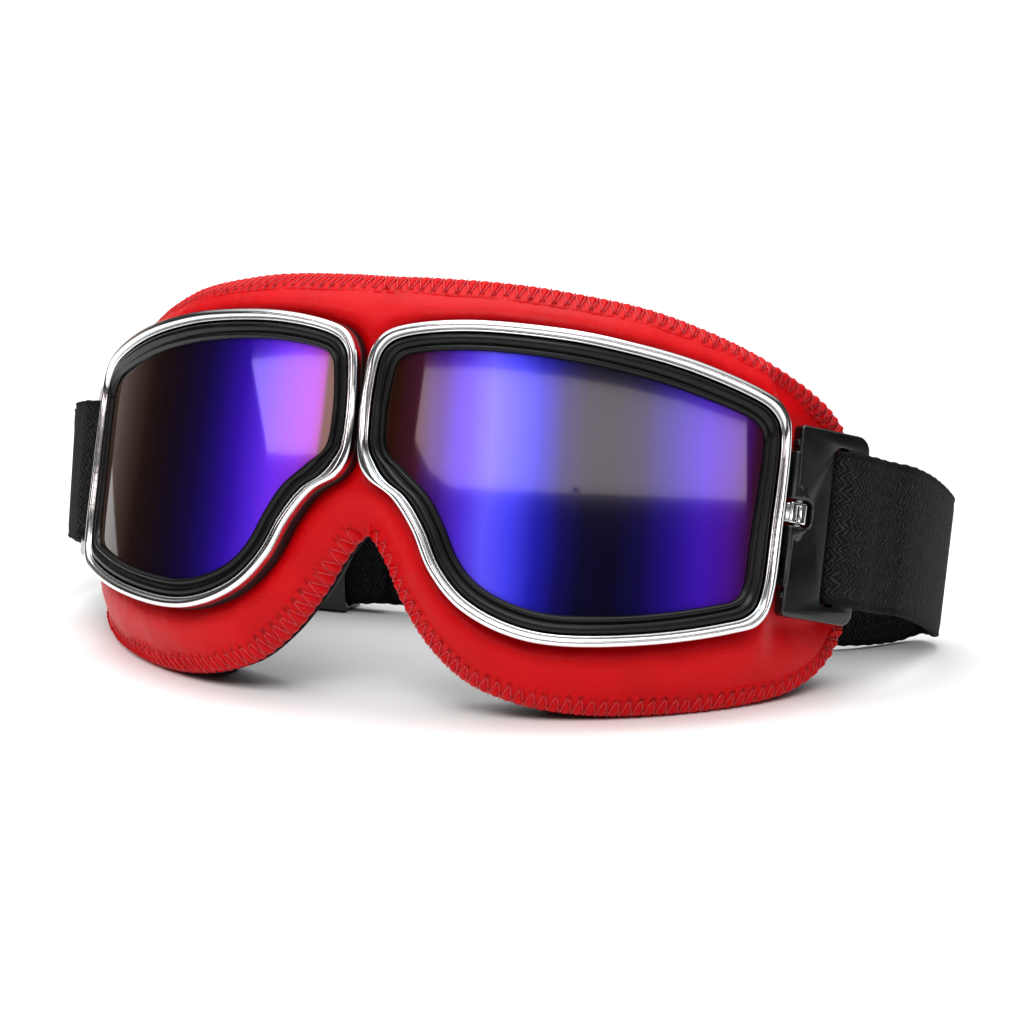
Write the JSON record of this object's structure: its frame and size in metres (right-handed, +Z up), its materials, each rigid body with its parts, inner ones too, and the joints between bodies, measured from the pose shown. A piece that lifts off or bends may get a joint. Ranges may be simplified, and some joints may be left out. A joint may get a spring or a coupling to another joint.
{
  "type": "motorcycle goggles",
  "caption": "Retro riding goggles: padded leather mask, cylindrical mirror lenses in chrome rims, hinged plastic buckles and an elastic strap with adjusters.",
  "frame": {"origin": "centre of the footprint at floor level", "axes": "+Z up, the lenses face -Y, +X to the wearer's left"},
  "size_m": [0.209, 0.1031, 0.0874],
  "materials": {
    "leather": "semi-gloss red faux leather",
    "foam": "matt black foam",
    "lining": "matt black knit",
    "chrome": "polished",
    "rubber": "satin black",
    "lens": "iridescent mirror coat",
    "shell": "moulded",
    "buckle": "semi-gloss black",
    "steel": "plain",
    "webbing": "woven elastic"
  },
  "bodies": {
    "mask": {"mask_skin": "leather", "face_foam": "foam", "lining": "lining", "chrome_rim_left": "chrome", "gasket_left": "rubber", "lens_left": "lens", "frame_shell_left": "shell", "rim_knuckle_left": "chrome", "hinge_pin_left": "steel", "nose_bridge": "steel", "rivet_upper_left": "steel", "rivet_lower_left": "steel", "strap_band": "webbing", "strap_tail_left": "webbing", "chrome_rim_right": "chrome", "gasket_right": "rubber", "lens_right": "lens", "frame_shell_right": "shell", "rim_knuckle_right": "chrome", "hinge_pin_right": "steel", "rivet_upper_right": "steel", "rivet_lower_right": "steel", "strap_tail_right": "webbing"},
    "buckle_left_body": {"buckle_left": "buckle", "strap_loop_left": "webbing"},
    "buckle_right_body": {"buckle_right": "buckle", "strap_loop_right": "webbing"},
    "slide_left_body": {"strap_slide_left": "buckle"},
    "slide_right_body": {"strap_slide_right": "buckle"}
  },
  "joints": [
    {"name": "buckle_left_hinge", "type": "hinge", "parent": "mask", "child": "buckle_left_body", "pos_m": [0.08212, -0.00645, 0.03954], "axis": [0.0082, 0.3174, 0.9483], "range_deg": [-75, 10]},
    {"name": "buckle_right_hinge", "type": "hinge", "parent": "mask", "child": "buckle_right_body", "pos_m": [-0.08212, -0.00645, 0.03954], "axis": [-0.0082, 0.3174, 0.9483], "range_deg": [-10, 75]},
    {"name": "slide_left_travel", "type": "slide", "parent": "mask", "child": "slide_left_body", "axis": [1, 0, 0], "range_m": [-0.02, 0.013]},
    {"name": "slide_right_travel", "type": "slide", "parent": "mask", "child": "slide_right_body", "axis": [1, 0, 0], "range_m": [-0.013, 0.02]}
  ]
}
